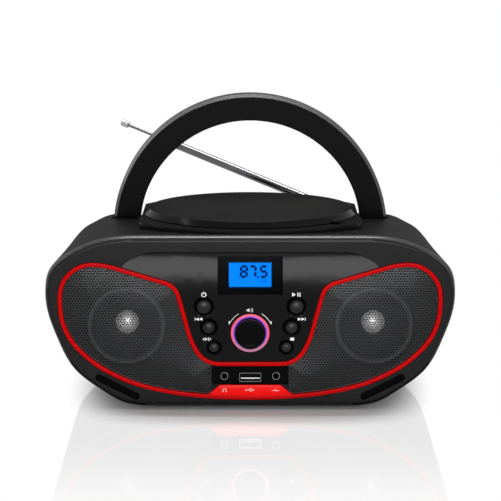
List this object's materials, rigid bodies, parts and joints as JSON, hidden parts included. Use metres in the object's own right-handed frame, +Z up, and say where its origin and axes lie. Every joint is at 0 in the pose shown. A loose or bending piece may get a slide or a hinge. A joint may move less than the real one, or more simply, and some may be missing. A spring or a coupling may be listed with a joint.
{
  "type": "portable disc player and radio",
  "caption": "Portable disc player and radio: rounded shell, red-trimmed speaker grilles, lit display, volume knob, push buttons, top disc lid, folding arch handle and telescopic antenna.",
  "frame": {"origin": "on the ground under the middle of the bounding box, antenna as pictured", "axes": "+Z up, +X to the right seen from the front, the front faces -Y"},
  "size_m": [0.2422, 0.2693, 0.1758],
  "materials": {
    "shell": "gloss",
    "deck": "gloss",
    "lid": "gloss",
    "handle": "satin",
    "red": "gloss",
    "panel": "high gloss",
    "window": "clear",
    "display": "backlit",
    "circuit": "solder mask",
    "switch": "matt",
    "button": "gloss",
    "knob": "high gloss",
    "light": "lit",
    "steel": "brushed",
    "chrome": "polished",
    "grille": "satin",
    "basket": "satin",
    "cone": "matt",
    "cap": "satin",
    "magnet": "matt",
    "ports": "gloss",
    "jack": "matt",
    "inner": "matt",
    "rubber": "matt",
    "lens": "clear",
    "core": "varnished"
  },
  "bodies": {
    "root": {"front_bezel": "shell", "rear_cabinet": "shell", "top_deck": "deck", "lid_hinge_pin": "steel", "handle_pivot_pins": "steel", "antenna_bracket": "steel", "red_trim": "red", "control_panel": "panel", "display_window": "window", "display_module": "display", "tact_switches": "switch", "control_board": "circuit", "knob_light_ring": "light", "volume_potentiometer": "steel", "port_panel": "ports", "headphone_jack": "jack", "aux_jack": "jack", "usb_socket": "steel", "port_board": "circuit", "mechanism_chassis": "inner", "guide_rods": "steel", "rubber_dampers": "rubber", "mechanism_screws": "steel", "spindle_motor": "steel", "battery_contacts": "steel", "transformer": "core", "main_board": "circuit", "power_inlet": "jack", "case_screws": "steel", "rubber_feet": "rubber", "left_grille": "grille", "left_speaker_frame": "basket", "left_speaker_cone": "cone", "left_dust_cap": "cap", "left_speaker_magnet": "magnet", "right_grille": "grille", "right_speaker_frame": "basket", "right_speaker_cone": "cone", "right_dust_cap": "cap", "right_speaker_magnet": "magnet"},
    "lid": {"disc_lid": "lid"},
    "handle": {"carry_handle": "handle"},
    "antenna_base": {"antenna_knuckle": "chrome", "antenna_elbow_pin": "steel"},
    "antenna_outer": {"antenna_tube": "chrome"},
    "antenna_middle": {"antenna_middle_tube": "chrome"},
    "antenna_end": {"antenna_rod": "chrome", "antenna_tip": "chrome"},
    "knob": {"volume_knob": "knob", "volume_shaft": "steel"},
    "door": {"battery_door": "shell"},
    "platter": {"turntable": "inner"},
    "sled": {"laser_sled": "jack", "laser_lens": "lens"},
    "power_key": {"power_button": "button"},
    "play_key": {"play_button": "button"},
    "previous_key": {"previous_button": "button"},
    "next_key": {"next_button": "button"},
    "function_key": {"function_button": "button"},
    "stop_key": {"stop_button": "button"}
  },
  "joints": [
    {"name": "lid_hinge", "type": "hinge", "parent": "root", "child": "lid", "pos_m": [0, 0.02586, 0.1054], "axis": [-1, 0, 0], "range_deg": [0, 44]},
    {"name": "handle_fold", "type": "hinge", "parent": "root", "child": "handle", "pos_m": [0, 0.00987, 0.087], "axis": [-1, 0, 0], "range_deg": [0, 60]},
    {"name": "antenna_turn", "type": "hinge", "parent": "root", "child": "antenna_base", "pos_m": [0.0752, 0.04886, 0.086], "axis": [0, 1, 0], "range_deg": [-19.1, 160]},
    {"name": "antenna_tilt", "type": "hinge", "parent": "antenna_base", "child": "antenna_outer", "pos_m": [0.0752, 0.04886, 0.086], "axis": [-0.3272, 0, -0.9449], "range_deg": [-25.8, 64.2]},
    {"name": "middle_slide", "type": "slide", "parent": "antenna_outer", "child": "antenna_middle", "axis": [-0.8508, 0.4352, 0.2946], "range_m": [-0.0095, 0.12]},
    {"name": "rod_slide", "type": "slide", "parent": "antenna_middle", "child": "antenna_end", "axis": [-0.8508, 0.4352, 0.2946], "range_m": [-0.0305, 0.09]},
    {"name": "volume_turn", "type": "hinge", "parent": "root", "child": "knob", "pos_m": [0, -0.12813, 0.047], "axis": [0, -1, 0], "range_deg": [-150, 150]},
    {"name": "door_hinge", "type": "hinge", "parent": "root", "child": "door", "pos_m": [0, 0.03837, 0.0084], "axis": [-1, 0, 0], "range_deg": [0, 85]},
    {"name": "disc_spin", "type": "hinge", "parent": "root", "child": "platter", "pos_m": [0, -0.04414, 0], "axis": [0, 0, 1], "continuous": true},
    {"name": "sled_slide", "type": "slide", "parent": "root", "child": "sled", "axis": [0, -1, 0], "range_m": [0, 0.03]},
    {"name": "power_press", "type": "slide", "parent": "root", "child": "power_key", "axis": [0, 1, 0], "range_m": [0, 0.0006], "stiffness_N_per_m": 300, "springref_m": -0.0003},
    {"name": "play_press", "type": "slide", "parent": "root", "child": "play_key", "axis": [0, 1, 0], "range_m": [0, 0.0006], "stiffness_N_per_m": 300, "springref_m": -0.0003},
    {"name": "previous_press", "type": "slide", "parent": "root", "child": "previous_key", "axis": [0, 1, 0], "range_m": [0, 0.0006], "stiffness_N_per_m": 300, "springref_m": -0.0003},
    {"name": "next_press", "type": "slide", "parent": "root", "child": "next_key", "axis": [0, 1, 0], "range_m": [0, 0.0006], "stiffness_N_per_m": 300, "springref_m": -0.0003},
    {"name": "function_press", "type": "slide", "parent": "root", "child": "function_key", "axis": [0, 1, 0], "range_m": [0, 0.0006], "stiffness_N_per_m": 300, "springref_m": -0.0003},
    {"name": "stop_press", "type": "slide", "parent": "root", "child": "stop_key", "axis": [0, 1, 0], "range_m": [0, 0.0006], "stiffness_N_per_m": 300, "springref_m": -0.0003}
  ]
}
